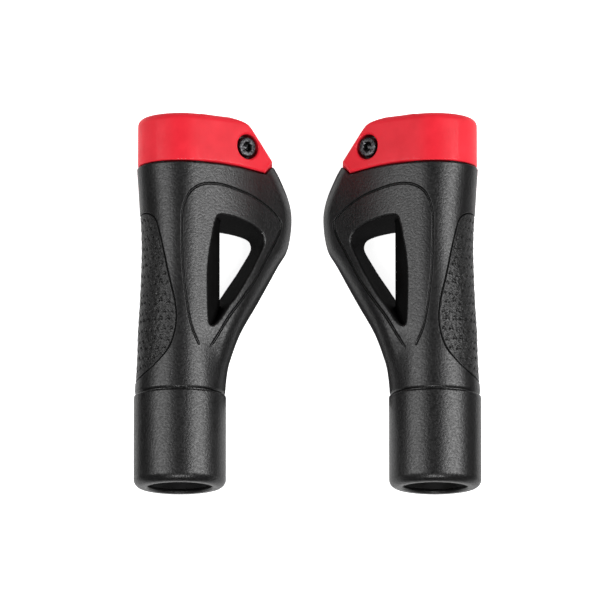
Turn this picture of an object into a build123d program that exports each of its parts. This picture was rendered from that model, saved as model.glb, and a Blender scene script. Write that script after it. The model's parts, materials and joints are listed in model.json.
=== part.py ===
from build123d import *
import os
from math import cos, radians, sin

# A pair of lock-on bar end grips with a hollow palm wing, lying side by side on a
# flat surface. X runs from the left grip to the right one, Y along both grips from
# the open end to the clamped end, Z up. The origin is under the middle of the pair.
# Every piece is drawn for the left grip and mirrored for the right one.
# Lengths are in millimetres, angles in degrees.

# Whole grip
GRIP_LENGTH = 130.0
AXIS_SPACING = 88.4
BAR_BORE_RADIUS = 11.15
BORE_MOUTH_RADIUS = 11.7
LIP_LENGTH = 1.6

# Rubber barrel, by distance from the open end
COLLAR_RADIUS = 16.0
COLLAR_LENGTH = 32.3
COLLAR_ROUND = 3.0
RING_GROOVE_WIDTH = 0.8
RING_GROOVE_DEPTH = 0.8
SHOULDER_RADIUS = 15.7
WAIST_RADIUS = 13.4
WAIST_AT = 86.0
RUBBER_END_RADIUS = 15.1
RUBBER_END = 112.4

# Palm wing. Its deck is an arc that leaves the barrel at one tilt and runs straight after another.
DECK_START_RADIUS = 15.2
DECK_START_TILT = 21.5
DECK_END_TILT = 46.0
DECK_CROWN_RADIUS = 62.0
WING_FLOOR = -15.8
WING_TIP_X = 39.3
WING_TOE_FLOOR = -3.0
WING_TOE_LENGTH = 74.0
WING_TOP = 116.0
WING_EDGE_ROUND = 1.8
WING_HALF_DEPTH = 20.0
HAND_HOLE_TILT = 17.0
HAND_HOLE_ROUND = 5.5
HAND_HOLE_TOE_ROUND = 2.0

# Nylon core
CORE_RADIUS = 12.5
CORE_FLANGE_RADIUS = 13.9
CORE_FLANGE_LENGTH = 4.0
TAB_COUNT = 4
TAB_START_ANGLE = 45.0
TAB_WIDTH = 9.0
TAB_INNER_RADIUS = 11.45
TAB_OUTER_RADIUS = 13.3
TAB_LENGTH = 5.0
SPINE_TILT = 19.0
SPINE_RISE = 1.5
SPINE_THICKNESS = 3.8
SPINE_EDGE_COVER = 6.5
SPINE_HOLE_COVER = 2.2

# Clamp
CLAMP_START = 112.9
CLAMP_RADIUS = 14.8
EAR_START_TILT = 27.0
EAR_END_TILT = 38.0
EAR_CROWN_RADIUS = 150.0
EAR_HEIGHT = 15.8
CLAMP_END_ROUND = 2.0
EAR_TIP_X = 32.1
EAR_CORNER_ROUND = 6.5
CLAMP_GAP = 0.4
NOTCH_CLEARANCE = 0.3
SLIT_WIDTH = 1.5
SLIT_DISTANCE = 5.0
PLUG_SEAT_RADIUS = 12.2
PLUG_SEAT_DEPTH = 3.0

# Clamp screw, an M4 x 16 socket head cap screw, square to the middle of the ear
SCREW_TILT = 34.0
SCREW_REACH = 18.0
SCREW_AT = 120.0
SCREW_RADIUS = 2.0
SCREW_LENGTH = 16.0
SCREW_HEAD_RADIUS = 3.5
SCREW_HEAD_HEIGHT = 4.0
SCREW_SUNK = 0.5
HEX_ACROSS_FLATS = 3.0
HEX_DEPTH = 2.2
HEX_MOUTH_RADIUS = 1.8
HEX_MOUTH_DEPTH = 0.35
SCREW_HEAD_CHAMFER = 0.4
KNURL_COUNT = 28
KNURL_DEPTH = 0.22
THREAD_CLEARANCE = 0.05
SHANK_HOLE_RADIUS = 2.3
COUNTERBORE_RADIUS = 4.4

# End plug
PLUG_CLEARANCE = 0.2
PLUG_THICKNESS = 2.4
PLUG_DISH_RADIUS = 9.5
PLUG_DISH_DEPTH = 0.7

# Frames of the left grip: its axis stands one collar radius above the surface
axis_point = Vector(-AXIS_SPACING / 2, -GRIP_LENGTH / 2, COLLAR_RADIUS)
plan = Plane(origin=axis_point, x_dir=(1, 0, 0), z_dir=(0, 0, 1))
cross = Plane(origin=axis_point, x_dir=(1, 0, 0), z_dir=(0, -1, 0))
side = Plane(origin=axis_point, x_dir=(0, 1, 0), z_dir=(1, 0, 0))
grip_axis = Axis(origin=axis_point, direction=(0, 1, 0))
outward = Vector(cos(radians(SCREW_TILT)), 0, -sin(radians(SCREW_TILT)))
ear_normal = Vector(sin(radians(SCREW_TILT)), 0, cos(radians(SCREW_TILT)))
spine_way = Vector(cos(radians(SPINE_TILT)), 0, -sin(radians(SPINE_TILT)))
screw_foot = axis_point + outward * SCREW_REACH + Vector(0, SCREW_AT, 0)
screw_head_seat = EAR_HEIGHT - SCREW_SUNK - SCREW_HEAD_HEIGHT


def ring_plane(distance):
    """Plane square to the grip axis, facing the clamped end."""
    return Plane(origin=axis_point + Vector(0, distance, 0), x_dir=(1, 0, 0), z_dir=(0, 1, 0))


def ear_plane(distance):
    """Plane square to the clamp screw, centred on it, at a distance from the grip axis."""
    return Plane(origin=screw_foot + ear_normal * distance, x_dir=outward, z_dir=ear_normal)


def deck_point(tilt, start_radius, start_tilt, crown_radius):
    """Point of a crowned deck where its slope has the given tilt."""
    sunk = crown_radius - start_radius
    across = crown_radius * sin(radians(tilt)) - sunk * sin(radians(start_tilt))
    height = crown_radius * cos(radians(tilt)) - sunk * cos(radians(start_tilt))
    return Vector(across, height)


def wedge_section(start_radius, start_tilt, end_tilt, crown_radius):
    """Cross-section under a crowned deck, from the grip axis out to the flat underside."""
    start, middle, end = (
        deck_point(tilt, start_radius, start_tilt, crown_radius)
        for tilt in (start_tilt, (start_tilt + end_tilt) / 2, end_tilt)
    )
    reach = end.X + (end.Y - WING_FLOOR) * cos(radians(end_tilt)) / sin(radians(end_tilt))
    with BuildSketch() as section:
        with BuildLine():
            ThreePointArc(start, middle, end)
            Polyline(end, (reach, WING_FLOOR), (0, WING_FLOOR), (0, 0), start)
        make_face()
    return section.sketch


def outer_rim(piece, count):
    """The longest edges of a piece outside the bar tube, on its side towards the other grip."""
    rim = [edge for edge in piece.edges() if edge.center().X > axis_point.X + CORE_RADIUS]
    return ShapeList(rim).sort_by(SortBy.LENGTH)[-count:]


def wing_outline(inset):
    """The wing seen from above, from the collar to the clamp's ear, drawn in by an inset."""
    with BuildSketch() as outline:
        with BuildLine():
            edge = Spline(
                (15.4 - inset, COLLAR_LENGTH + 1),
                (17.3 - inset, 44.3),
                (23.2 - inset, 60.0),
                (33.4 - inset, 80.2),
                (WING_TIP_X - 0.7 - inset, 91.0),
                (WING_TIP_X - 0.5 - inset, 101.6),
                (31.7 - inset, WING_TOP - inset),
            )
            Polyline(edge @ 1, (0, WING_TOP - inset), (0, COLLAR_LENGTH + 1), edge @ 0)
        make_face()
    return outline.sketch


def hand_hole():
    """The wing's triangular opening where it crosses the grip axis's height."""
    with BuildSketch() as opening:
        with BuildLine():
            Polyline((6.1, 94.8), (34.2, 91.3), (9.3, 54.8), (6.1, 54.8), close=True)
        make_face()
        fillet(opening.vertices().sort_by(Axis.X)[-1], HAND_HOLE_ROUND)
        fillet(opening.vertices().group_by(Axis.Y)[0].sort_by(Axis.X)[-1], HAND_HOLE_TOE_ROUND)
    return opening.sketch


def clamp_outline():
    """The clamp seen from above, with its ear reaching over the wing."""
    with BuildSketch() as outline:
        with BuildLine():
            Polyline(
                (-CLAMP_RADIUS - 2, CLAMP_START),
                (20.0, CLAMP_START - 0.3),
                (29.3, CLAMP_START - 1.2),
                (EAR_TIP_X, CLAMP_START + 3.1),
                (23.4, GRIP_LENGTH),
                (-CLAMP_RADIUS - 2, GRIP_LENGTH),
                close=True,
            )
        make_face()
        fillet(outline.vertices().group_by(Axis.Y)[-1].sort_by(Axis.X)[-1], EAR_CORNER_ROUND)
    return outline.sketch


def tab_cross(width):
    """Spokes of the given width, one through each of the core's keying tabs."""
    with BuildSketch() as spokes:
        with PolarLocations(TAB_OUTER_RADIUS, TAB_COUNT, start_angle=TAB_START_ANGLE):
            Rectangle(2 * TAB_OUTER_RADIUS, width)
    return spokes.sketch


hand_hole_way = Vector(sin(radians(HAND_HOLE_TILT)), 0, cos(radians(HAND_HOLE_TILT)))

# Tool for the gap that keeps the rubber clear of the clamp
with BuildPart() as clamp_space:
    with BuildSketch(plan):
        add(clamp_outline())
        offset(amount=CLAMP_GAP, kind=Kind.INTERSECTION)
    extrude(amount=WING_HALF_DEPTH, both=True)

# Wing: its outline seen from above, cut to the wedge-shaped cross-section
with BuildPart() as wing:
    with BuildSketch(plan):
        add(wing_outline(0))
    extrude(amount=WING_HALF_DEPTH, both=True)
    with BuildSketch(cross):
        add(wedge_section(DECK_START_RADIUS, DECK_START_TILT, DECK_END_TILT, DECK_CROWN_RADIUS))
    extrude(amount=-GRIP_LENGTH, mode=Mode.INTERSECT)
    with BuildSketch(side):
        with BuildLine():
            toe = (COLLAR_LENGTH, WING_TOE_FLOOR)
            Polyline(toe, (WING_TOE_LENGTH, WING_FLOOR), (COLLAR_LENGTH, WING_FLOOR), close=True)
        make_face()
    extrude(amount=GRIP_LENGTH, both=True, mode=Mode.SUBTRACT)
    fillet(outer_rim(wing, 2), WING_EDGE_ROUND)
    with BuildSketch(plan):
        add(hand_hole())
    extrude(amount=WING_HALF_DEPTH + 5, both=True, dir=hand_hole_way, mode=Mode.SUBTRACT)

# Core: bar tube, keyed flange and the flat spine that stiffens the wing
with BuildPart() as core_spine:
    with BuildSketch(plan):
        add(wing_outline(SPINE_EDGE_COVER))
    extrude(amount=WING_HALF_DEPTH, both=True)
    with BuildSketch(Plane(origin=axis_point, x_dir=spine_way, z_dir=(0, -1, 0))):
        with Locations((0, SPINE_RISE)):
            Rectangle(2 * GRIP_LENGTH, SPINE_THICKNESS)
    extrude(amount=-GRIP_LENGTH, mode=Mode.INTERSECT)
    with BuildSketch(plan):
        add(hand_hole())
        offset(amount=SPINE_HOLE_COVER)
    extrude(amount=WING_HALF_DEPTH + 5, both=True, dir=hand_hole_way, mode=Mode.SUBTRACT)

with BuildPart() as left_core:
    add(core_spine.part)
    with BuildSketch(ring_plane(LIP_LENGTH)):
        Circle(CORE_RADIUS)
    extrude(amount=RUBBER_END - LIP_LENGTH)
    with BuildSketch(ring_plane(RUBBER_END - CORE_FLANGE_LENGTH)):
        Circle(CORE_FLANGE_RADIUS)
    extrude(amount=CORE_FLANGE_LENGTH)
    with BuildSketch(ring_plane(RUBBER_END)):
        Circle(TAB_OUTER_RADIUS)
        Circle(TAB_INNER_RADIUS, mode=Mode.SUBTRACT)
        add(tab_cross(TAB_WIDTH), mode=Mode.INTERSECT)
    extrude(amount=TAB_LENGTH)
    with BuildSketch(ring_plane(0)):
        Circle(BAR_BORE_RADIUS)
    extrude(amount=GRIP_LENGTH, mode=Mode.SUBTRACT)

# Rubber: collar, waisted barrel and wing moulded over the core
with BuildPart() as left_rubber_grip:
    with BuildSketch(plan) as barrel_profile:
        groove_end = COLLAR_LENGTH + RING_GROOVE_WIDTH
        groove_floor = COLLAR_RADIUS - RING_GROOVE_DEPTH
        with BuildLine():
            waist = Spline(
                (SHOULDER_RADIUS, groove_end),
                (WAIST_RADIUS + 1.3, 54.0),
                (WAIST_RADIUS, WAIST_AT),
                (RUBBER_END_RADIUS, RUBBER_END),
            )
            Polyline(
                waist @ 1,
                (0, RUBBER_END),
                (0, 0),
                (COLLAR_RADIUS, 0),
                (COLLAR_RADIUS, COLLAR_LENGTH),
                (groove_floor, COLLAR_LENGTH),
                (groove_floor, groove_end),
                waist @ 0,
            )
        make_face()
        corner = barrel_profile.vertices().group_by(Axis.Y)[0].sort_by(Axis.X)[-1]
        fillet(corner, COLLAR_ROUND)
    revolve(axis=grip_axis)
    add(wing.part)
    add(clamp_space.part, mode=Mode.SUBTRACT)
    add(left_core.part, mode=Mode.SUBTRACT)
    with BuildSketch(ring_plane(0)):
        Circle(BAR_BORE_RADIUS)
    extrude(amount=GRIP_LENGTH, mode=Mode.SUBTRACT)
    with BuildSketch(ring_plane(0)):
        Circle(BORE_MOUTH_RADIUS)
    mouth_taper = BORE_MOUTH_RADIUS - BAR_BORE_RADIUS
    extrude(amount=mouth_taper, taper=45, mode=Mode.SUBTRACT)

# Clamp: ring and ear in one piece, slit through the ear
with BuildPart() as left_clamp:
    with BuildSketch(cross):
        Circle(CLAMP_RADIUS)
        add(wedge_section(CLAMP_RADIUS, EAR_START_TILT, EAR_END_TILT, EAR_CROWN_RADIUS))
    extrude(amount=-GRIP_LENGTH)
    with BuildSketch(plan):
        add(clamp_outline())
    extrude(amount=WING_HALF_DEPTH, both=True, mode=Mode.INTERSECT)
    end_face = left_clamp.faces().sort_by(Axis.Y)[-1]
    fillet(end_face.edges(), CLAMP_END_ROUND)
    with BuildSketch(ring_plane(0)):
        Circle(BAR_BORE_RADIUS)
    extrude(amount=GRIP_LENGTH, mode=Mode.SUBTRACT)
    with BuildSketch(ring_plane(GRIP_LENGTH)):
        Circle(PLUG_SEAT_RADIUS)
    extrude(amount=-PLUG_SEAT_DEPTH, mode=Mode.SUBTRACT)
    with BuildSketch(ring_plane(0)):
        Circle(TAB_OUTER_RADIUS + NOTCH_CLEARANCE)
        add(tab_cross(TAB_WIDTH + 2 * NOTCH_CLEARANCE), mode=Mode.INTERSECT)
    extrude(amount=RUBBER_END + TAB_LENGTH + NOTCH_CLEARANCE, mode=Mode.SUBTRACT)
    with BuildSketch(ear_plane(SLIT_DISTANCE)):
        Rectangle(2 * SCREW_REACH, GRIP_LENGTH)
    extrude(amount=SLIT_WIDTH / 2, both=True, mode=Mode.SUBTRACT)
    with BuildSketch(ear_plane(screw_head_seat)):
        Circle(COUNTERBORE_RADIUS)
    extrude(amount=WING_HALF_DEPTH, mode=Mode.SUBTRACT)
    with BuildSketch(ear_plane(SLIT_DISTANCE)):
        Circle(SHANK_HOLE_RADIUS)
    extrude(amount=WING_HALF_DEPTH, mode=Mode.SUBTRACT)
    with BuildSketch(ear_plane(SLIT_DISTANCE)):
        Circle(SCREW_RADIUS + THREAD_CLEARANCE)
    extrude(amount=-WING_HALF_DEPTH, mode=Mode.SUBTRACT)

# Clamp screw: knurled head with a hexagon socket, plain shank for the thread
with BuildPart() as left_clamp_screw:
    with BuildSketch(ear_plane(screw_head_seat)):
        Circle(SCREW_HEAD_RADIUS)
    extrude(amount=SCREW_HEAD_HEIGHT)
    chamfer(left_clamp_screw.edges().sort_by(Axis.Z)[-1], SCREW_HEAD_CHAMFER)
    with BuildSketch(ear_plane(screw_head_seat)):
        with PolarLocations(SCREW_HEAD_RADIUS + KNURL_DEPTH, KNURL_COUNT):
            Circle(2 * KNURL_DEPTH)
    extrude(amount=SCREW_HEAD_HEIGHT, mode=Mode.SUBTRACT)
    with BuildSketch(ear_plane(screw_head_seat + SCREW_HEAD_HEIGHT)):
        RegularPolygon(HEX_ACROSS_FLATS / 2, 6, major_radius=False)
    extrude(amount=-HEX_DEPTH, mode=Mode.SUBTRACT)
    with BuildSketch(ear_plane(screw_head_seat + SCREW_HEAD_HEIGHT)):
        Circle(HEX_MOUTH_RADIUS)
    extrude(amount=-HEX_MOUTH_DEPTH, taper=45, mode=Mode.SUBTRACT)
    with BuildSketch(ear_plane(screw_head_seat)):
        Circle(SCREW_RADIUS)
    extrude(amount=-SCREW_LENGTH)
    chamfer(left_clamp_screw.edges().filter_by(GeomType.CIRCLE).sort_by(Axis.Z)[0], SCREW_RADIUS / 4)

# End plug: shallow dished disc that closes the clamp's outer end
with BuildPart() as left_end_plug:
    with BuildSketch(ring_plane(GRIP_LENGTH - PLUG_SEAT_DEPTH + PLUG_CLEARANCE)):
        Circle(PLUG_SEAT_RADIUS - PLUG_CLEARANCE)
    extrude(amount=PLUG_THICKNESS)
    fillet(left_end_plug.edges().sort_by(Axis.Y)[-1], PLUG_DISH_DEPTH)
    with BuildSketch(ring_plane(GRIP_LENGTH - PLUG_SEAT_DEPTH + PLUG_CLEARANCE + PLUG_THICKNESS)):
        Circle(PLUG_DISH_RADIUS)
    extrude(amount=-PLUG_DISH_DEPTH, taper=30, mode=Mode.SUBTRACT)

left_pieces = {
    "rubber_grip": left_rubber_grip,
    "core": left_core,
    "clamp": left_clamp,
    "clamp_screw": left_clamp_screw,
    "end_plug": left_end_plug,
}

os.makedirs("parts", exist_ok=True)
for piece_name, left_piece in left_pieces.items():
    with BuildPart() as right_piece:
        mirror(left_piece.part, about=Plane.YZ)
    for side, piece in (("left", left_piece), ("right", right_piece)):
        piece.part.label = f"{side}_{piece_name}"
        export_step(piece.part, f"parts/{piece.part.label}.step")
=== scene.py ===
import json
import math

import bmesh
import bpy
import numpy as np
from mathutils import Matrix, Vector


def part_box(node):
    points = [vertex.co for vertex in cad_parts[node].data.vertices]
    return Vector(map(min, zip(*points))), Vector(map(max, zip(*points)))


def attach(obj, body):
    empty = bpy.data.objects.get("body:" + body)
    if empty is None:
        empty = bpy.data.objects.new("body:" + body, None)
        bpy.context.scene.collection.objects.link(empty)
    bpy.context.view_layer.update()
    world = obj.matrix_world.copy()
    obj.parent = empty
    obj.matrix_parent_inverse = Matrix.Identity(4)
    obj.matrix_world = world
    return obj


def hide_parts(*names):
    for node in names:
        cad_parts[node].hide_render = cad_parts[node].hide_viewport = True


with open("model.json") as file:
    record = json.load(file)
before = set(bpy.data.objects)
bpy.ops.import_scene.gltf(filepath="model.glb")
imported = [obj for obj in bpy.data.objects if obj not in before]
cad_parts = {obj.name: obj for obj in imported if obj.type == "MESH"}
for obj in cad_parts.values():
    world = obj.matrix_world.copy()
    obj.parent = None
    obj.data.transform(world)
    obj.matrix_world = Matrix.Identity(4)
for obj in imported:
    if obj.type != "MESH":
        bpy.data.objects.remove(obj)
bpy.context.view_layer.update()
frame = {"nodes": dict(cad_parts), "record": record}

# Looks for a pair of lock-on bar end grips. The moulded rubber and the painted clamp of a
# grip are signed distance fields, in millimetres, in the grip's own frame: x from its axis
# towards the other grip, y along the axis from the open end, z up from the axis. Each field
# is meshed once and mirrored for the other grip.

MM = 0.001

# ---------------------------------------------------------------- sizes, in millimetres

# The tube: collar, ring groove, waisted barrel and bore
BAR_BORE = frame["record"]["mounts"][0]["dims"]["r_mm"]
COLLAR_LENGTH = 32.3
COLLAR_RADIUS = 16.0
COLLAR_ROUND = 3.0
COLLAR_EDGE_ROUND = 0.7
GROOVE_WIDTH = 0.15
GROOVE_DEPTH = 0.5
GROOVE_ROUND = 1.3
STEM_REACH = 5
LIP_LENGTH = 1.6
MOUTH_RADIUS, MOUTH_CHAMFER = 11.7, 0.6
TUBE_RADIUS = 13.7
CORE_RADIUS = 12.48
CORE_FLANGE_RADIUS = 13.95
CORE_FLANGE_START = 108.4
WAIST = [
    (30, 15.7), (34, 15.65), (38, 15.45), (46, 15.05), (55, 14.8), (67, 14.1), (85, 13.6), (102, 14.4),
    (112, 15.1), (116, 15.3),
]

# The decks of the wing and of the clamp's ear: radius and tilt where they start, radius of the arc
DECK_START = (15.2, math.radians(21.5), 62.0)
DECK_END_TILT = math.radians(46)
EAR_START = (14.8, math.radians(27), 150.0)
EAR_END_TILT = math.radians(38)

# The textured pad and the groove that frames the hole
PAD_TURN = math.radians(-2)
PAD_BEND_RADIUS = 14.3
PAD_MAX_X = 6
PAD_DEPTH = 0.1
SCALE_PITCH, SCALE_ROW = 2.7, 3.25
NOTCH_DEPTH, NOTCH_SLANT, NOTCH_WIDTH = 0.5, 0.9, (0.22, 0.5)
NOTCH_HEIGHT, NOTCH_UNEVEN = 0.42, 0.4
SCALE_RISE, HATCH_DEPTH, HATCH_PITCH = 0.14, 0.05, 0.9
PAD_GROOVE_DEPTH, PAD_GROOVE_FLOOR, PAD_GROOVE_EDGE = 0.45, 0.1, 0.4
PANEL_GROOVE_DEPTH, PANEL_GROOVE_FLOOR, PANEL_GROOVE_EDGE = 0.62, 0.02, 0.55
PANEL_START, PANEL_FULL = 46.5, 51

# The wing and the hole through it
WING_FLOOR, WING_FLOOR_ROUND = -15.7, 1.6
WING_EDGE_ROUND = 3.8
WING_FILLET, EAR_FILLET = 4, 3
TOE_START, TOE_END, TOE_RISE = 33.0, 76.0, 13.5
TOE_SINK, TOE_SINK_END = 3.5, 56.0
HOLE_TOP = 15.4
HOLE_LEAN = math.tan(math.radians(17))
HOLE_DRAFT = 0.05
HOLE_EDGE_ROUND = 0.8

# The clamp, its screw and the seats in it
GRIP_LENGTH = 130.0
CLAMP_RADIUS = 14.8
CLAMP_EDGE_ROUND = 0.6
EAR_HEIGHT = 15.8
CLAMP_FLOOR = -15.8
CLAMP_END_ROUND = 2.6
EAR_ROUND = 0.9
CLAMP_GAP = 0.45
SCREW_TILT = math.radians(34)
SCREW_REACH, SCREW_AT = 18.0, 120.0
HEAD_SEAT, HEAD_HEIGHT, HEAD_RADIUS, HEAD_ROUND = 11.3, 4.0, 3.5, 0.55
SCREW_LENGTH, SHANK_RADIUS, TIP_CHAMFER = 16.0, 2.0, 0.5
THREAD_PITCH, THREAD_DEPTH = 0.7, 0.22
HEX_HALF, HEX_DEPTH, HEX_CHAMFER = 1.5, 2.2, 0.35
KNURLS, KNURL_DEPTH = 28, 0.12
COUNTERBORE_RADIUS = 4.4
SHANK_HOLE_RADIUS = 2.3
TAP_RADIUS = 2.05
SLIT_DISTANCE, SLIT_WIDTH = 5.0, 1.5
PLUG_SEAT_RADIUS, PLUG_SEAT_DEPTH = 12.2, 3.0
TAB_REACH, TAB_HALF_WIDTH, NOTCH_END = 13.6, 4.8, 117.7

# Boxes that hold the fields' surfaces, and how finely they are meshed
RUBBER_BOX = (-17.5, -0.9, -17.5), (41, 118, 17.5)
CLAMP_BOX = (-16.5, 111, -16.8), (34, 131, 16.5)
SCREW_BOX = (-3.7, -3.7, -4.6), (3.7, 3.7, 16.0)
RUBBER_STEP, CLAMP_STEP, SCREW_STEP = ((0.5, 0.35, 0.1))
RUBBER_TRIANGLES, CLAMP_TRIANGLES, SCREW_TRIANGLES = 190_000, 80_000, 16_000
SHARP_ABOVE = math.radians(9)

# The studio, in metres, degrees and watts
FLOOR_SIZE = 60.0
FLOOR_GLOW = 0.93
CARD_REACH, CARD_GLOW = 0.03, 0.22
CARD_CLEAR_OF_COLLAR = 0.003
WORLD_STRENGTH = 0.04
LIGHT_DISTANCE = 1.3
SOFT_BOXES = [
    ("left_box", -46, -4, 0.4, 1.0, 8.5),
    ("right_box", 46, -4, 0.4, 1.0, 14.6),
    ("front_strip", 0, 50, 0.6, 0.15, 7),
]
CAMERA_TIP = 10.8
CAMERA_DISTANCE = 4.0
CAMERA_LENS = 691.5
CAMERA_TARGET = (-0.0026, 0.0012, 0.016)

# Outlines seen from above, at the height of the surface that they lie on
WING_OUTLINE = [
    (13.4, 30), (14.7, 36), (17.0, 44), (20.8, 55.5), (26.7, 67), (33.7, 80.2),
    (37.5, 86.7), (39.3, 95), (38.7, 102), (34.5, 111.7), (31.2, 117), (0, 119), (0, 32),
]
HOLE_OUTLINE = [
    (13.4, 94.1), (16.5, 94.4), (20.2, 93.8), (23.6, 92.9), (26.4, 91.8), (28.4, 90.5), (29.3, 88.7),
    (29.2, 86.0), (26.6, 80.2), (24.4, 75.8), (19.6, 67.2), (16.9, 63.3), (13.7, 57.9), (11.8, 55.7),
    (10.6, 55.6), (10.1, 58.0), (9.8, 67.9), (9.9, 75.6), (10.5, 81.5), (11.3, 86.4), (12.2, 91.3),
]
PANEL_LINE = [
    (6.6, 48.2), (3.7, 56.0), (1.4, 72), (0.8, 86.6), (1.0, 95), (3.2, 101.2), (7.2, 104.4),
    (12.0, 105.3), (17.3, 104.7), (25.0, 102.6), (30.4, 99.8), (34.0, 96.6), (34.8, 94.0),
    (33.8, 90.0), (30.1, 82), (25.9, 73), (21.5, 65.6), (17.1, 59.0), (13.6, 52.7), (10.6, 47.6),
]
PAD_HALF_OUTLINE = [
    (0, 95.6), (8.5, 95.4), (13.4, 93.2), (15.6, 88), (17.4, 81), (19.3, 72.3), (21.1, 64.6),
    (21.8, 58.6), (21.3, 52.7), (19.2, 46.7), (14.6, 41.7), (9.6, 38.6), (4.0, 37.0), (0, 36.8),
]
CLAMP_OUTLINE = [
    (-20, 112.9), (14, 112.9), (20, 112.6), (29.3, 111.7), (32.0, 115.9), (24.9, 126.5), (23.8, 127.8),
    (22.4, 128.8), (20.8, 129.6), (19.0, 130.4), (16, 134), (-20, 134),
]


# ---------------------------------------------------------------- distance field helpers

def round_and(a, b, radius):
    """Intersection of two solids whose shared edge is rounded."""
    beyond = np.hypot(np.maximum(a + radius, 0), np.maximum(b + radius, 0))
    return np.minimum(np.maximum(a, b), -radius) + beyond


def round_or(a, b, radius):
    """Union of two solids whose shared corner is filled with a fillet."""
    return -round_and(-a, -b, radius)


def ramp(value, start, end):
    """Smooth step from 0 at start to 1 at end."""
    t = np.clip((value - start) / (end - start), 0, 1)
    return t * t * (3 - 2 * t)


def smooth_curve(points, closed, steps=8):
    """Points along a smooth curve through the given ones."""
    p = np.array(points, float)
    if closed:
        ends = np.vstack([p[-1], p, p[:2]])
    else:
        ends = np.vstack([2 * p[0] - p[1], p, 2 * p[-1] - p[-2]])
    t = np.linspace(0, 1, steps, endpoint=False)[:, None]
    spans = []
    for a, b, c, d in zip(ends, ends[1:], ends[2:], ends[3:]):
        spans.append(b + 0.5 * t * (c - a + t * (2 * a - 5 * b + 4 * c - d + t * (3 * (b - c) + d - a))))
    if not closed:
        spans.append(p[-1:])
    return np.vstack(spans)


class PlanMap:
    """Distance to a curve in a plane, looked up from a fine grid. Negative inside a closed curve."""

    def __init__(self, curve, closed, margin=6.0, step=0.125):
        self.low = curve.min(0) - margin
        self.step = step
        count = np.ceil((curve.max(0) + margin - self.low) / step).astype(int) + 1
        x = (self.low[0] + step * np.arange(count[0]))[:, None]
        y = (self.low[1] + step * np.arange(count[1]))[None, :]
        nearest = np.full(count, 1e9)
        inside = np.zeros(count, bool)
        ends = np.roll(curve, -1, 0) if closed else curve[1:]
        for (ax, ay), (bx, by) in zip(curve, ends):
            dx, dy = bx - ax, by - ay
            t = np.clip(((x - ax) * dx + (y - ay) * dy) / max(dx * dx + dy * dy, 1e-12), 0, 1)
            nearest = np.minimum(nearest, (x - ax - t * dx) ** 2 + (y - ay - t * dy) ** 2)
            if closed and ay != by:
                crosses = ((ay > y) != (by > y)) & (x < ax + (y - ay) * dx / dy)
                inside ^= crosses
        self.values = np.sqrt(nearest) * np.where(inside, -1, 1)

    def __call__(self, x, y):
        u = np.clip((x - self.low[0]) / self.step, 0, self.values.shape[0] - 1.001)
        v = np.clip((y - self.low[1]) / self.step, 0, self.values.shape[1] - 1.001)
        i, j = u.astype(int), v.astype(int)
        u, v = u - i, v - j
        g = self.values
        near = g[i, j] * (1 - v) + g[i, j + 1] * v
        far = g[i + 1, j] * (1 - v) + g[i + 1, j + 1] * v
        return near * (1 - u) + far * u


def mesh_field(field, low, high, step):
    """Mesh the zero surface of a field with one vertex in each grid cell that it crosses."""
    axes = [np.arange(a, b + step, step) for a, b in zip(low, high)]
    values = np.empty([len(a) for a in axes])
    for i, x in enumerate(axes[0]):
        y, z = np.meshgrid(axes[1], axes[2], indexing="ij")
        values[i] = field(np.full_like(y, x), y, z)
    solid = values < 0
    corners = [(i, j, k) for i in (0, 1) for j in (0, 1) for k in (0, 1)]
    size = np.array(solid.shape) - 1
    parts = [solid[i:i + size[0], j:j + size[1], k:k + size[2]] for i, j, k in corners]
    count = sum(part.astype(np.int8) for part in parts)
    cells = np.argwhere((count > 0) & (count < 8))
    index = np.full(size, -1)
    index[tuple(cells.T)] = np.arange(len(cells))

    at = [values[tuple((cells + corner).T)] for corner in corners]
    total, crossings = np.zeros((len(cells), 3)), np.zeros(len(cells))
    for m, a in enumerate(corners):
        for n, b in enumerate(corners):
            if n > m and sum(abs(p - q) for p, q in zip(a, b)) == 1:
                crossed = (at[m] < 0) != (at[n] < 0)
                t = np.where(crossed, at[m] / np.where(crossed, at[m] - at[n], 1), 0)
                point = np.array(a) + t[:, None] * (np.array(b) - np.array(a))
                total += point * crossed[:, None]
                crossings += crossed
    verts = np.array(low) + step * (cells + total / crossings[:, None])

    faces = []
    for axis in range(3):
        first, second = (axis + 1) % 3, (axis + 2) % 3
        here = [slice(1, -1)] * 3
        here[axis] = slice(0, -1)
        there = list(here)
        there[axis] = slice(1, None)
        a, b = solid[tuple(here)], solid[tuple(there)]
        edges = np.argwhere(a != b) + np.array([0 if k == axis else 1 for k in range(3)])
        leaving = solid[tuple(edges.T)]
        quad = []
        for d1, d2 in ((-1, -1), (0, -1), (0, 0), (-1, 0)):
            cell = edges.copy()
            cell[:, first] += d1
            cell[:, second] += d2
            quad.append(index[tuple(cell.T)])
        quad = np.stack(quad, 1)
        quad[~leaving] = quad[~leaving][:, ::-1]
        faces.append(quad)
    return verts, np.vstack(faces)


def slope(field, points, reach):
    """Gradient of a field at points, by central differences."""
    x, y, z = points.T
    return np.stack([
        field(x + reach, y, z) - field(x - reach, y, z),
        field(x, y + reach, z) - field(x, y - reach, z),
        field(x, y, z + reach) - field(x, y, z - reach),
    ], 1) / (2 * reach)


def settle(field, points, step, rounds=3):
    """Move points onto the zero surface of a field."""
    for _ in range(rounds):
        gradient = slope(field, points, 0.03)
        value = field(*points.T)
        shift = value / np.maximum((gradient ** 2).sum(1), 0.1)
        points = points - gradient * np.clip(shift, -step / 2, step / 2)[:, None]
    return points


# ---------------------------------------------------------------- the rubber moulding

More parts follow.
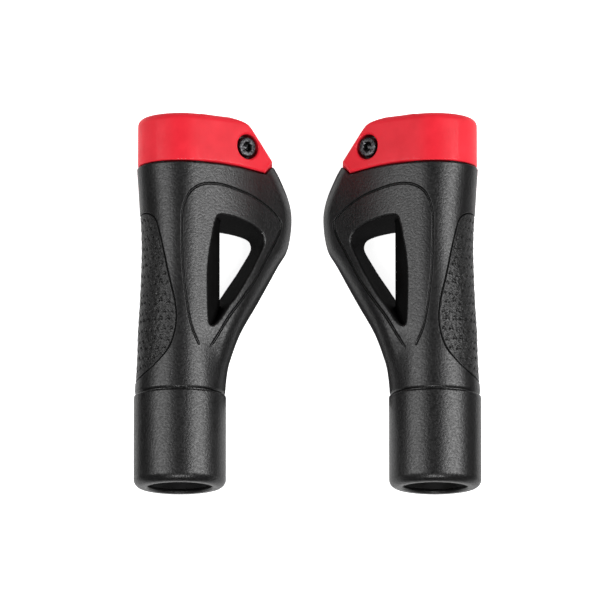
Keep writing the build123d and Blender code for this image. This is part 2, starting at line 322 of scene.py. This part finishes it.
wing_map = PlanMap(np.vstack([smooth_curve(WING_OUTLINE[:-2], False), WING_OUTLINE[-2:]]), True)
hole_map = PlanMap(smooth_curve(HOLE_OUTLINE, True), True)
panel_map = PlanMap(smooth_curve(PANEL_LINE, False), False, margin=4.0)
pad_half = smooth_curve(PAD_HALF_OUTLINE, False)
pad_map = PlanMap(np.vstack([pad_half, pad_half[::-1] * (-1, 1)]), True)
clamp_map = PlanMap(np.array(CLAMP_OUTLINE, float), True)
waist = smooth_curve(WAIST, False)

SIN, COS = math.sin(SCREW_TILT), math.cos(SCREW_TILT)


def along_screw(x, z):
    """Distance from the grip's axis along the clamp screw, and square to it down the slope."""
    return x * SIN + z * COS, x * COS - z * SIN


def crowned_deck(x, z, start, end_tilt):
    """Distance over a deck that leaves a tube as an arc and then runs straight down.

    start is the tube's radius, the tilt at which the deck leaves it and the arc's radius.
    """
    radius, tilt, crown = start
    across, height = x + (crown - radius) * math.sin(tilt), z + (crown - radius) * math.cos(tilt)
    slope_here = np.minimum(np.arctan2(across, height), end_tilt)
    return across * np.sin(slope_here) + height * np.cos(slope_here) - crown


def before_deck(x, z, start):
    """Positive on the side of a tube where its deck hasn't started."""
    return z * math.sin(start[1]) - x * math.cos(start[1])


def on_pad(x, z):
    """Distance round the barrel from the middle line of the textured pad."""
    return (np.arctan2(z, -x) - PAD_TURN) * PAD_BEND_RADIUS


def scales(x, y, z):
    """Depth of the textured pad's pattern: rows of small hatched scales, notched at their tops.

    uneven is a number from 0 to 1 that differs from scale to scale.
    """
    t = on_pad(x, z)
    row = np.floor(y / SCALE_ROW)
    place = t / SCALE_PITCH + 0.5 * (row % 2)
    across = np.abs(place % 1 - 0.5) * SCALE_PITCH
    uneven = np.sin(12.9898 * np.floor(place) + 78.233 * row) * 43758.5453 % 1
    down = y - (row + NOTCH_HEIGHT + NOTCH_UNEVEN * uneven) * SCALE_ROW + NOTCH_SLANT * across
    notch = (1 - ramp(np.abs(down), *NOTCH_WIDTH)) * (1 - ramp(across, 0.45, 0.9)) * (0.6 + 0.6 * uneven)
    tilt = ((y + 0.45 * across) / SCALE_ROW) % 1
    hatch = 0.5 - 0.5 * np.cos(2 * math.pi * down / HATCH_PITCH)
    depth = NOTCH_DEPTH * notch + SCALE_RISE * tilt * (1 - ramp(tilt, 0.85, 1)) + HATCH_DEPTH * hatch
    return depth * (1 - ramp(pad_map(t, y), -1.3, -0.5))


def rubber_form(x, y, z):
    """The outside of the rubber without its grooves, its hole and its bore."""
    r = np.hypot(x, z)
    lift, _ = along_screw(x, z)
    facing = lift / np.maximum(r, 1)
    plain = np.interp(y, *waist.T)
    barrel = r - plain - (DECK_START[0] - plain) * ramp(facing, -0.1, 0.85)
    stem = np.maximum(barrel + GROOVE_DEPTH, np.abs(y - COLLAR_LENGTH) - STEM_REACH)

    sunk = TOE_SINK * (1 - ramp(y, TOE_START, TOE_SINK_END))
    deck = crowned_deck(x, z, DECK_START, DECK_END_TILT) + sunk
    floor = WING_FLOOR + TOE_RISE * (1 - ramp(y, TOE_START, TOE_END))
    floor = np.maximum(floor, -plain + (WING_FLOOR + plain) * ramp(x, 0, 12))
    wing = round_and(deck, wing_map(x, y), WING_EDGE_ROUND)
    wing = round_and(wing, floor - z, WING_FLOOR_ROUND)
    wing = np.maximum(wing, before_deck(x, z, DECK_START))
    beside = ramp(facing, -0.75, -0.35) * (1 - ramp(facing, 0, 0.6))
    body = round_or(barrel, wing, 0.03 + WING_FILLET * beside + 0.8 * sunk)

    body = round_and(body, COLLAR_LENGTH + GROOVE_WIDTH - y, GROOVE_ROUND)
    collar = round_and(r - COLLAR_RADIUS, y - COLLAR_LENGTH, COLLAR_EDGE_ROUND)
    collar = round_and(collar, -y, COLLAR_ROUND)
    return np.minimum(np.minimum(body, stem), collar)


def bore_radius(y):
    """Radius of the rubber's inside at each y."""
    at = [0, MOUTH_CHAMFER, LIP_LENGTH, LIP_LENGTH + 0.01, CORE_FLANGE_START, CORE_FLANGE_START + 0.01]
    radii = [MOUTH_RADIUS, BAR_BORE, BAR_BORE, CORE_RADIUS, CORE_RADIUS, CORE_FLANGE_RADIUS]
    return np.interp(y, at, radii)


def panel_groove(x, y, z):
    """Depth of the groove that frames the hole."""
    shape = 1 - ramp(panel_map(x, y), PANEL_GROOVE_FLOOR, PANEL_GROOVE_EDGE)
    return PANEL_GROOVE_DEPTH * shape * ramp(y, PANEL_START, PANEL_FULL) * ramp(z, -12, -9)


def pad(x, y, z):
    """Depth of the textured pad and of the groove that outlines it."""
    to_pad = pad_map(on_pad(x, z), y)
    outline = PAD_GROOVE_DEPTH * (1 - ramp(np.abs(to_pad), PAD_GROOVE_FLOOR, PAD_GROOVE_EDGE))
    sunk = PAD_DEPTH * (1 - ramp(to_pad, -0.5, 0))
    return (outline + sunk + scales(x, y, z)) * (x < PAD_MAX_X)


def rubber(x, y, z):
    """The whole rubber moulding of one grip."""
    r = np.hypot(x, z)
    body = rubber_form(x, y, z) + panel_groove(x, y, z) + pad(x, y, z)

    lift, _ = along_screw(x, z)
    depth = HOLE_TOP - lift
    leant = x + HOLE_LEAN * depth / (HOLE_LEAN * SIN + COS)
    hole = np.maximum(hole_map(leant, y) + HOLE_DRAFT * depth, TUBE_RADIUS - r)
    body = round_and(body, -hole, HOLE_EDGE_ROUND)

    body = round_and(body, CLAMP_GAP - clamp_map(x, y), 0.5)
    return np.maximum(body, bore_radius(y) - r)


# ---------------------------------------------------------------- the clamp

def clamp(x, y, z):
    """The clamp: a ring with an ear, less its bore, seats, slit and screw holes."""
    r = np.hypot(x, z)
    lift, down = along_screw(x, z)
    facing = lift / np.maximum(r, 1)
    ring = round_and(r - CLAMP_RADIUS, clamp_map(x, y), CLAMP_EDGE_ROUND)

    deck = crowned_deck(x, z, EAR_START, EAR_END_TILT)
    ear = round_and(deck, clamp_map(x, y), EAR_ROUND)
    floor = -CLAMP_RADIUS + (CLAMP_FLOOR + CLAMP_RADIUS) * ramp(x, 0, 8)
    ear = np.maximum(round_and(ear, floor - z, EAR_ROUND), before_deck(x, z, EAR_START))
    beside = ramp(facing, -0.75, -0.35) * (1 - ramp(facing, 0, 0.6))
    body = round_or(ring, ear, 0.02 + EAR_FILLET * beside)
    body = round_and(body, y - GRIP_LENGTH, CLAMP_END_ROUND)

    notch = np.maximum(r - TAB_REACH, y - NOTCH_END)
    cross = np.minimum(np.abs(x - z), np.abs(x + z)) / math.sqrt(2)
    inside = np.minimum(r - BAR_BORE, np.maximum(notch, cross - TAB_HALF_WIDTH))
    plug_seat = np.maximum(r - PLUG_SEAT_RADIUS, GRIP_LENGTH - PLUG_SEAT_DEPTH - y)
    inside = np.minimum(inside, plug_seat)
    slit = np.maximum(np.abs(lift - SLIT_DISTANCE) - SLIT_WIDTH / 2, -down)
    inside = np.minimum(inside, slit)

    off_screw = np.hypot(down - SCREW_REACH, y - SCREW_AT)
    head_hole = off_screw - COUNTERBORE_RADIUS - 0.5 * ramp(lift, EAR_HEIGHT - 0.6, EAR_HEIGHT)
    head_hole = np.maximum(head_hole, HEAD_SEAT - lift)
    shank_hole = off_screw - np.where(lift > SLIT_DISTANCE, SHANK_HOLE_RADIUS, TAP_RADIUS)
    inside = np.minimum(inside, np.minimum(head_hole, shank_hole))
    return np.maximum(body, -inside)


# ---------------------------------------------------------------- the clamp screw

def screw(a, b, lift):
    """The screw in its own frame: a and b square to it, lift along it from the grip's axis."""
    r, around = np.hypot(a, b), np.arctan2(b, a)
    top = HEAD_SEAT + HEAD_HEIGHT
    knurls = KNURL_DEPTH * (1 - np.cos(KNURLS * around)) * (1 - ramp(lift, top - 0.9, top - 0.6))
    head = round_and(r - HEAD_RADIUS + knurls, lift - top, HEAD_ROUND)
    head = round_and(head, HEAD_SEAT - lift, 0.15)

    flats = [math.radians(60 * k) for k in range(3)]
    hexagon = np.max([np.abs(a * math.cos(t) + b * math.sin(t)) for t in flats], 0) - HEX_HALF
    floor = top - HEX_DEPTH - 0.45 * (1 - np.minimum(r / HEX_HALF, 1) ** 2)
    socket = np.maximum(hexagon, floor - lift)
    chamfer = (r - HEX_HALF - HEX_CHAMFER + top - lift) * math.sqrt(0.5)
    head = np.maximum(head, -np.minimum(socket, chamfer))

    turn = (lift / THREAD_PITCH - around / (2 * math.pi)) % 1
    thread = THREAD_DEPTH * np.abs(2 * turn - 1) * (1 - ramp(lift, HEAD_SEAT - 2.5, HEAD_SEAT - 2))
    end = HEAD_SEAT - SCREW_LENGTH
    shank = np.maximum(r - SHANK_RADIUS + thread, end - lift)
    tip = (r - SHANK_RADIUS + TIP_CHAMFER + end - lift) * math.sqrt(0.5)
    shank = np.maximum(np.maximum(shank, tip), lift - HEAD_SEAT - 1)
    return np.minimum(head, shank)


def screw_in_grip(shape):
    """A shape from the screw's own frame, moved into the grip's."""
    points, triangles, normals = shape

    def turned(v):
        a, b, lift = v[..., 0], v[..., 1], v[..., 2]
        return np.stack([lift * SIN + a * COS, b, lift * COS - a * SIN], -1)

    return turned(points + (SCREW_REACH, 0, 0)) + (0, SCREW_AT, 0), triangles, turned(normals)


# ---------------------------------------------------------------- meshes from the fields

def detailed(points):
    """Which points of the rubber lie in the textured pad or by a groove."""
    x, y, z = points.T
    on_outside = (np.hypot(x, z) > 13.2) & (y > 2)
    by_pad = (x < PAD_MAX_X) & (pad_map(on_pad(x, z), y) < 1.0)
    by_panel = (z > -10) & (panel_map(x, y) < 1.3)
    by_ring = np.abs(y - COLLAR_LENGTH - GROOVE_WIDTH / 2) < 1.3
    return on_outside & (by_pad | by_panel | by_ring)


def refine(verts, faces, wanted):
    """Split the faces round the wanted points in four."""
    bm = bmesh.new()
    corners = [bm.verts.new(v) for v in verts]
    chosen = wanted(verts)
    for face in faces.tolist():
        bm.faces.new([corners[i] for i in face])
    bm.verts.index_update()
    edges = [e for e in bm.edges if chosen[e.verts[0].index] and chosen[e.verts[1].index]]
    bmesh.ops.subdivide_edges(bm, edges=edges, cuts=1, use_grid_fill=True)
    bmesh.ops.triangulate(bm, faces=bm.faces)
    mesh = bpy.data.meshes.new("refined")
    bm.to_mesh(mesh)
    bm.free()
    return mesh


def mesh_points(mesh):
    """A mesh's vertices as an array."""
    points = np.empty(len(mesh.vertices) * 3)
    mesh.vertices.foreach_get("co", points)
    return points.reshape(-1, 3)


def thin_out(mesh, most):
    """Collapse edges until the mesh has at most the given number of triangles."""
    holder = bpy.data.objects.new("holder", mesh)
    bpy.context.collection.objects.link(holder)
    holder.modifiers.new("fewer", "DECIMATE").ratio = min(1, most / len(mesh.polygons))
    graph = bpy.context.evaluated_depsgraph_get()
    thin = bpy.data.meshes.new_from_object(holder.evaluated_get(graph))
    bpy.data.objects.remove(holder)
    bpy.data.meshes.remove(mesh)
    return thin


def corner_normals(field, points, triangles):
    """Normals from the field: one for each vertex, or one for each face corner at a sharp edge."""
    loops = triangles.ravel()
    smooth = slope(field, points, 0.1)
    smooth /= np.linalg.norm(smooth, axis=1)[:, None] + 1e-9
    centres = points[triangles].mean(1).repeat(3, 0)
    pulled = points[loops] + 0.4 * (centres - points[loops])
    sharp = slope(field, pulled, 0.04)
    sharp /= np.linalg.norm(sharp, axis=1)[:, None] + 1e-9
    agree = (sharp * smooth[loops]).sum(1) > math.cos(SHARP_ABOVE)
    return np.where(agree[:, None], smooth[loops], sharp).reshape(-1, 3, 3)


def nowhere(points):
    """None of the points."""
    return np.zeros(len(points), bool)


def field_mesh(field, low, high, step, most, wanted=nowhere):
    """Vertices, triangles and corner normals of a field's surface."""
    verts, faces = mesh_field(field, low, high, step)
    verts = settle(field, verts, step)
    mesh = refine(verts, faces, wanted)
    verts = settle(field, mesh_points(mesh), step / 2)
    mesh.vertices.foreach_set("co", verts.ravel())
    mesh = thin_out(mesh, most)
    points = mesh_points(mesh)
    triangles = np.empty(len(mesh.loops), np.int64)
    mesh.loops.foreach_get("vertex_index", triangles)
    triangles = triangles.reshape(-1, 3)
    bpy.data.meshes.remove(mesh)
    return points, triangles, corner_normals(field, points, triangles)


def unpainted(points):
    """Which points of the clamp lie in its bore, in its slit or under the screw's head."""
    x, y, z = points.T
    lift, down = along_screw(x, z)
    in_bore = (np.hypot(x, z) < PLUG_SEAT_RADIUS + 0.1) & (y < GRIP_LENGTH - 0.4)
    off_screw = np.hypot(down - SCREW_REACH, y - SCREW_AT)
    under_head = (off_screw < COUNTERBORE_RADIUS) & (lift < HEAD_SEAT + 0.2)
    in_slit = (np.abs(lift - SLIT_DISTANCE) < SLIT_WIDTH / 2 + 0.05) & (down > 0)
    return in_bore | under_head | in_slit


def painted_shade_places(points):
    """Which points of the rubber take painted shade: the pad's outline groove and the tube's side of the
    hole.
    """
    x, y, z = points.T
    r = np.hypot(x, z)
    by_hole = (hole_map(x, y) < -0.2) | ((x > 8) & (z < 12) & (np.abs(y - 75) < 19))
    by_hole = by_hole & (r < TUBE_RADIUS + 0.25)
    in_pad_line = (np.abs(pad_map(on_pad(x, z), y)) < 0.2) & (x < PAD_MAX_X) & (r > 13)
    return by_hole | in_pad_line


def in_pad(points):
    """Which points of the rubber lie in the textured pad."""
    x, y, z = points.T
    return (pad_map(on_pad(x, z), y) < -0.4) & (x < PAD_MAX_X) & (np.hypot(x, z) > 12.8)


def placed(name, shape, side, body, node, slot, others=()):
    """Add the piece that a shape makes on one grip, mirrored for the right one.

    others holds (material, chooser) pairs for the faces that don't take the slot's material.
    """
    points, triangles, normals = shape
    low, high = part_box(f"{side}_rubber_grip")
    centres = points[triangles].mean(1)
    outward = 1 if side == "left" else -1
    outer_edge = low.x if side == "left" else high.x
    origin = Vector((outer_edge + outward * COLLAR_RADIUS * MM, low.y, COLLAR_RADIUS * MM))
    if outward < 0:
        triangles, normals = triangles[:, ::-1], normals[:, ::-1]
    points = points * (outward * MM, MM, MM) + origin
    normals = (normals * (outward, 1, 1)).reshape(-1, 3)
    mesh = bpy.data.meshes.new(f"{side}_{name}")
    mesh.from_pydata(points.tolist(), [], triangles.tolist())
    mesh.shade_smooth()
    mesh.normals_split_custom_set(normals)
    mesh.materials.append(finishes[slot])
    used = np.zeros(len(centres), np.int32)
    for number, (other, chooser) in enumerate(others, 1):
        mesh.materials.append(other)
        used[chooser(centres)] = number
    mesh.polygons.foreach_set("material_index", used)
    piece = bpy.data.objects.new(f"{side}_{name}", mesh)
    bpy.context.collection.objects.link(piece)
    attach(piece, body)
    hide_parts(node)


# ---------------------------------------------------------------- materials

class Nodes:
    """A material's nodes, added one by one."""

    def __init__(self, name):
        self.material = bpy.data.materials.new(name)
        self.material.use_nodes = True
        self.tree = self.material.node_tree
        self.shader = self.tree.nodes["Principled BSDF"]
        self.place = self.add("ShaderNodeTexCoord").outputs["Object"]

    def add(self, kind, **values):
        """A new node with its inputs or settings given by name."""
        node = self.tree.nodes.new(kind)
        for key, value in values.items():
            if key in node.inputs:
                node.inputs[key].default_value = value
            else:
                setattr(node, key, value)
        return node

    def join(self, out, into):
        """Link one node's output to another's input."""
        self.tree.links.new(out, into)

    def noise(self, size, detail=3.0, roughness=0.55):
        """Noise whose features are about the given size in metres."""
        node = self.add("ShaderNodeTexNoise", Scale=1 / size, Detail=detail, Roughness=roughness)
        self.join(self.place, node.inputs["Vector"])
        return node.outputs["Fac"]

    def spread(self, value, low, high):
        """The middle of a noise's range, spread over low to high."""
        node = self.add("ShaderNodeMapRange")
        ends = {"From Min": 0.3, "From Max": 0.7, "To Min": low, "To Max": high}
        for key, number in ends.items():
            node.inputs[key].default_value = number
        self.join(value, node.inputs["Value"])
        return node.outputs["Result"]

    def math(self, operation, a, b):
        """Arithmetic on two values, each a number or another node's output."""
        node = self.add("ShaderNodeMath", operation=operation)
        for socket, value in zip(node.inputs, (a, b)):
            if isinstance(value, (int, float)):
                socket.default_value = value
            else:
                self.join(value, socket)
        return node.outputs[0]

    def colours(self, value, *stops):
        """Colour that follows a value through (position, (r, g, b)) stops."""
        node = self.add("ShaderNodeValToRGB")
        ramp_stops = node.color_ramp.elements
        while len(ramp_stops) < len(stops):
            ramp_stops.new(0.5)
        for element, (position, colour) in zip(ramp_stops, stops):
            element.position = position
            element.color = (*colour, 1)
        self.join(value, node.inputs["Fac"])
        return node.outputs["Color"]

    def bump(self, height, distance, strength=1.0):
        """Normal of a surface raised by up to the given distance in metres."""
        node = self.add("ShaderNodeBump", Distance=distance, Strength=strength)
        self.join(height, node.inputs["Height"])
        return node.outputs["Normal"]

    def finish(self, colour, roughness, normal, **constants):
        """Join the three outputs to the shader, set its constants and hand back the material."""
        self.join(colour, self.shader.inputs["Base Color"])
        self.join(roughness, self.shader.inputs["Roughness"])
        self.join(normal, self.shader.inputs["Normal"])
        for key, value in constants.items():
            self.shader.inputs[key.replace("_", " ")].default_value = value
        return self.material


def rubber_material():
    """Charcoal rubber from a spark-eroded mould: a fine grain, slightly uneven in tone."""
    n = Nodes("moulded_rubber")
    grain = n.noise(0.00072, detail=1.0)
    patches = n.noise(0.009, detail=4.0)
    tone = n.math("ADD", n.math("MULTIPLY", grain, 0.45), n.math("MULTIPLY", patches, 0.55))
    colour = n.colours(tone, (0.3, (0.003, 0.003, 0.0031)), (0.7, (0.0085, 0.0082, 0.0085)))
    roughness = n.spread(grain, 0.32, 0.46)
    return n.finish(colour, roughness, n.bump(grain, 0.00008), IOR=1.5)


def pad_rubber_material():
    """The rubber of the textured pad, rougher than the rest."""
    n = Nodes("pad_rubber")
    grain = n.noise(0.0009, detail=2.0)
    patches = n.noise(0.005, detail=4.0)
    colour = n.colours(grain, (0.3, (0.003, 0.003, 0.003)), (0.7, (0.012, 0.0116, 0.0115)))
    return n.finish(colour, n.spread(patches, 0.38, 0.44), n.bump(grain, 0.00028), IOR=1.5)


def painted_shade_rubber_material():
    """The same rubber made matte, darker and without grain: painted shade on the hole's wall by the tube
    and in the pad's outline groove.
    """
    n = Nodes("painted_shade_rubber")
    patches = n.noise(0.006, detail=4.0)
    # Painted shade: darker than the moulded rubber and with little specular, so these faces read as
    # shadowed.
    colour = n.colours(patches, (0.3, (0.002, 0.002, 0.002)), (0.7, (0.004, 0.004, 0.004)))
    normal = n.bump(n.noise(0.0006), 0.00005, 0.5)
    return n.finish(colour, n.spread(patches, 0.6, 0.75), normal, Specular_IOR_Level=0.08)


def nylon_material():
    """Matte black glass-filled nylon."""
    n = Nodes("core_nylon")
    grain = n.noise(0.0003)
    patches = n.noise(0.006, detail=4.0)
    colour = n.colours(patches, (0.3, (0.012, 0.012, 0.012)), (0.7, (0.026, 0.026, 0.027)))
    return n.finish(colour, n.spread(patches, 0.5, 0.68), n.bump(grain, 0.00006, 0.5))


def paint_material():
    """Red gloss paint over cast aluminium: faint orange peel and slightly uneven depth."""
    n = Nodes("red_gloss_paint")
    peel = n.noise(0.0022, detail=2.0)
    depth = n.noise(0.007, detail=4.0)
    colour = n.colours(depth, (0.3, (0.72, 0.015, 0.029)), (0.7, (0.81, 0.022, 0.039)))
    normal = n.bump(peel, 0.00006, 0.25)
    roughness = n.spread(peel, 0.46, 0.54)
    shine = {"Specular_IOR_Level": 0.16, "Coat_Weight": 0.09, "Coat_Roughness": 0.1}
    return n.finish(colour, roughness, normal, **shine)


def bare_material():
    """Dark anodised aluminium inside the clamp, where the paint stops."""
    n = Nodes("dark_anodised")
    grain = n.noise(0.0005, detail=3.0)
    patches = n.noise(0.004, detail=4.0)
    colour = n.colours(patches, (0.3, (0.015, 0.014, 0.014)), (0.7, (0.03, 0.027, 0.027)))
    return n.finish(colour, n.spread(patches, 0.4, 0.55), n.bump(grain, 0.00004, 0.4))


def steel_material():
    """Black oxide on machined steel, rubbed brighter in patches."""
    n = Nodes("black_oxide_steel")
    grain = n.noise(0.0005, detail=4.0)
    rubbed = n.noise(0.0008, detail=3.0, roughness=0.65)
    colour = n.colours(rubbed, (0.38, (0.006, 0.006, 0.007)), (0.66, (0.1, 0.1, 0.105)))
    roughness = n.spread(grain, 0.24, 0.38)
    return n.finish(colour, roughness, n.bump(grain, 0.00003, 0.4), Metallic=0.85)


def plug_material():
    """Satin black moulded plastic."""
    n = Nodes("plug_plastic")
    grain = n.noise(0.0004)
    patches = n.noise(0.005, detail=4.0)
    colour = n.colours(patches, (0.3, (0.014, 0.014, 0.015)), (0.7, (0.030, 0.030, 0.032)))
    return n.finish(colour, n.spread(patches, 0.38, 0.52), n.bump(grain, 0.00005, 0.4))


def floor_material():
    """White studio sweep, lit so evenly that shadows on it are faint."""
    n = Nodes("studio_floor")
    paper = n.noise(0.02)
    colour = n.colours(paper, (0.3, (0.86, 0.86, 0.86)), (0.7, (0.88, 0.88, 0.88)))
    normal = n.bump(n.noise(0.0008), 0.00005, 0.1)
    material = n.finish(colour, n.spread(paper, 0.85, 0.95), normal)
    n.shader.inputs["Emission Color"].default_value = (1, 1, 1, 1)
    n.shader.inputs["Emission Strength"].default_value = FLOOR_GLOW
    return material


finishes = {
    "rubber": rubber_material(),
    "nylon": nylon_material(),
    "red_paint": paint_material(),
    "black_steel": steel_material(),
    "black_plastic": plug_material(),
}
bare_metal = bare_material()
# Rubber painted darker as shade for the hole's wall by the tube and the pad's outline groove.
painted_shade_rubber = painted_shade_rubber_material()
pad_rubber = pad_rubber_material()
for subpart in frame["record"]["subparts"]:
    node_mesh = frame["nodes"][subpart["node"]].data
    node_mesh.materials.clear()
    node_mesh.materials.append(finishes[subpart["material_slot"]])

rubber_shape = field_mesh(rubber, *RUBBER_BOX, RUBBER_STEP, RUBBER_TRIANGLES, detailed)
clamp_shape = field_mesh(clamp, *CLAMP_BOX, CLAMP_STEP, CLAMP_TRIANGLES)
screw_shape = screw_in_grip(field_mesh(screw, *SCREW_BOX, SCREW_STEP, SCREW_TRIANGLES))
for side in ("left", "right"):
    placed(
        "rubber", rubber_shape, side, f"{side}_grip", f"{side}_rubber_grip", "rubber",
        # The pad takes its own rubber; the hole's wall by the tube and the pad's outline groove take the
        # painted shade.
        [(pad_rubber, in_pad), (painted_shade_rubber, painted_shade_places)],
    )
    placed(
        "clamp_shell", clamp_shape, side, f"{side}_clamp", f"{side}_clamp", "red_paint",
        [(bare_metal, unpainted)],
    )
    placed("screw_detail", screw_shape, side, f"{side}_screw", f"{side}_clamp_screw", "black_steel")


# ---------------------------------------------------------------- floor, lights and camera

def add_floor():
    """The plain pale floor, left out of reflections so that dark rubber stays dark."""
    mesh = bpy.data.meshes.new("floor")
    half = FLOOR_SIZE / 2
    corners = [(-half, -half, 0), (half, -half, 0), (half, half, 0), (-half, half, 0)]
    mesh.from_pydata(corners, [], [range(4)])
    floor = bpy.data.objects.new("floor", mesh)
    mesh.materials.append(floor_material())
    floor.visible_glossy = False
    bpy.context.collection.objects.link(floor)


def add_bounce_cards():
    """White cards just under the floor, round the grips and between them, seen only in reflections."""
    low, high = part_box("left_rubber_grip")
    side_x, front_y = -low.x, -low.y
    wing_x, collar_y = -high.x, low.y + COLLAR_LENGTH * MM
    collar_x = side_x - 2 * COLLAR_RADIUS * MM - CARD_CLEAR_OF_COLLAR
    outer_x, outer_y = side_x + CARD_REACH, front_y + CARD_REACH
    n = Nodes("white_card")
    glow = n.noise(0.05)
    colour = n.colours(glow, (0.3, (0.8, 0.8, 0.8)), (0.7, (0.85, 0.85, 0.85)))
    material = n.finish(colour, n.spread(glow, 0.8, 0.9), n.bump(glow, 0.00005, 0.1))
    n.shader.inputs["Emission Color"].default_value = (1, 1, 1, 1)
    n.shader.inputs["Emission Strength"].default_value = CARD_GLOW
    cards = [
        ((-outer_x, -outer_y), (-side_x, outer_y)),
        ((side_x, -outer_y), (outer_x, outer_y)),
        ((-side_x, -outer_y), (side_x, -front_y)),
        ((-side_x, front_y), (side_x, outer_y)),
        ((-collar_x, -front_y), (collar_x, collar_y)),
        ((-wing_x, collar_y), (wing_x, front_y)),
    ]
    verts, faces = [], []
    for (x0, y0), (x1, y1) in cards:
        faces.append(range(len(verts), len(verts) + 4))
        verts += [(x0, y0, -MM), (x1, y0, -MM), (x1, y1, -MM), (x0, y1, -MM)]
    mesh = bpy.data.meshes.new("bounce_cards")
    mesh.from_pydata(verts, [], faces)
    mesh.materials.append(material)
    card = bpy.data.objects.new("bounce_cards", mesh)
    card.visible_camera = card.visible_diffuse = card.visible_shadow = False
    bpy.context.collection.objects.link(card)


def toward(target, place):
    """Rotation that points an object's -Z from place to target, with its Y as near up as can be."""
    return (Vector(target) - Vector(place)).to_track_quat("-Z", "Y").to_euler()


def soft_box(name, around, forward, width, length, power):
    """Soft box turned round the grips' long axis and moved towards one end of it, in degrees."""
    around, forward = math.radians(around), math.radians(forward)
    place = LIGHT_DISTANCE * Vector((
        math.sin(around) * math.cos(forward),
        -math.sin(forward),
        math.cos(around) * math.cos(forward),
    ))
    data = bpy.data.lights.new(name, "AREA")
    data.shape = "RECTANGLE"
    data.size, data.size_y = width, length
    data.energy = power
    light = bpy.data.objects.new(name, data)
    light.location = place
    light.rotation_euler = toward((0, 0, 0), place)
    bpy.context.collection.objects.link(light)


def add_camera():
    """The camera above the pair, tipped a little towards the grips' open ends."""
    tip = math.radians(CAMERA_TIP)
    target = Vector(CAMERA_TARGET)
    data = bpy.data.cameras.new("camera")
    data.sensor_width = 36
    data.lens = CAMERA_LENS
    data.clip_start, data.clip_end = 0.05, 20
    camera = bpy.data.objects.new("camera", data)
    camera.location = target + CAMERA_DISTANCE * Vector((0, -math.sin(tip), math.cos(tip)))
    camera.rotation_euler = (tip, 0, 0)
    bpy.context.collection.objects.link(camera)
    bpy.context.scene.camera = camera


add_floor()
add_bounce_cards()
for settings in SOFT_BOXES:
    soft_box(*settings)
add_camera()

world = bpy.data.worlds.new("studio")
world.use_nodes = True
world.node_tree.nodes["Background"].inputs["Color"].default_value = (1, 1, 1, 1)
world.node_tree.nodes["Background"].inputs["Strength"].default_value = WORLD_STRENGTH
bpy.context.scene.world = world
bpy.context.scene.view_settings.view_transform = "Standard"
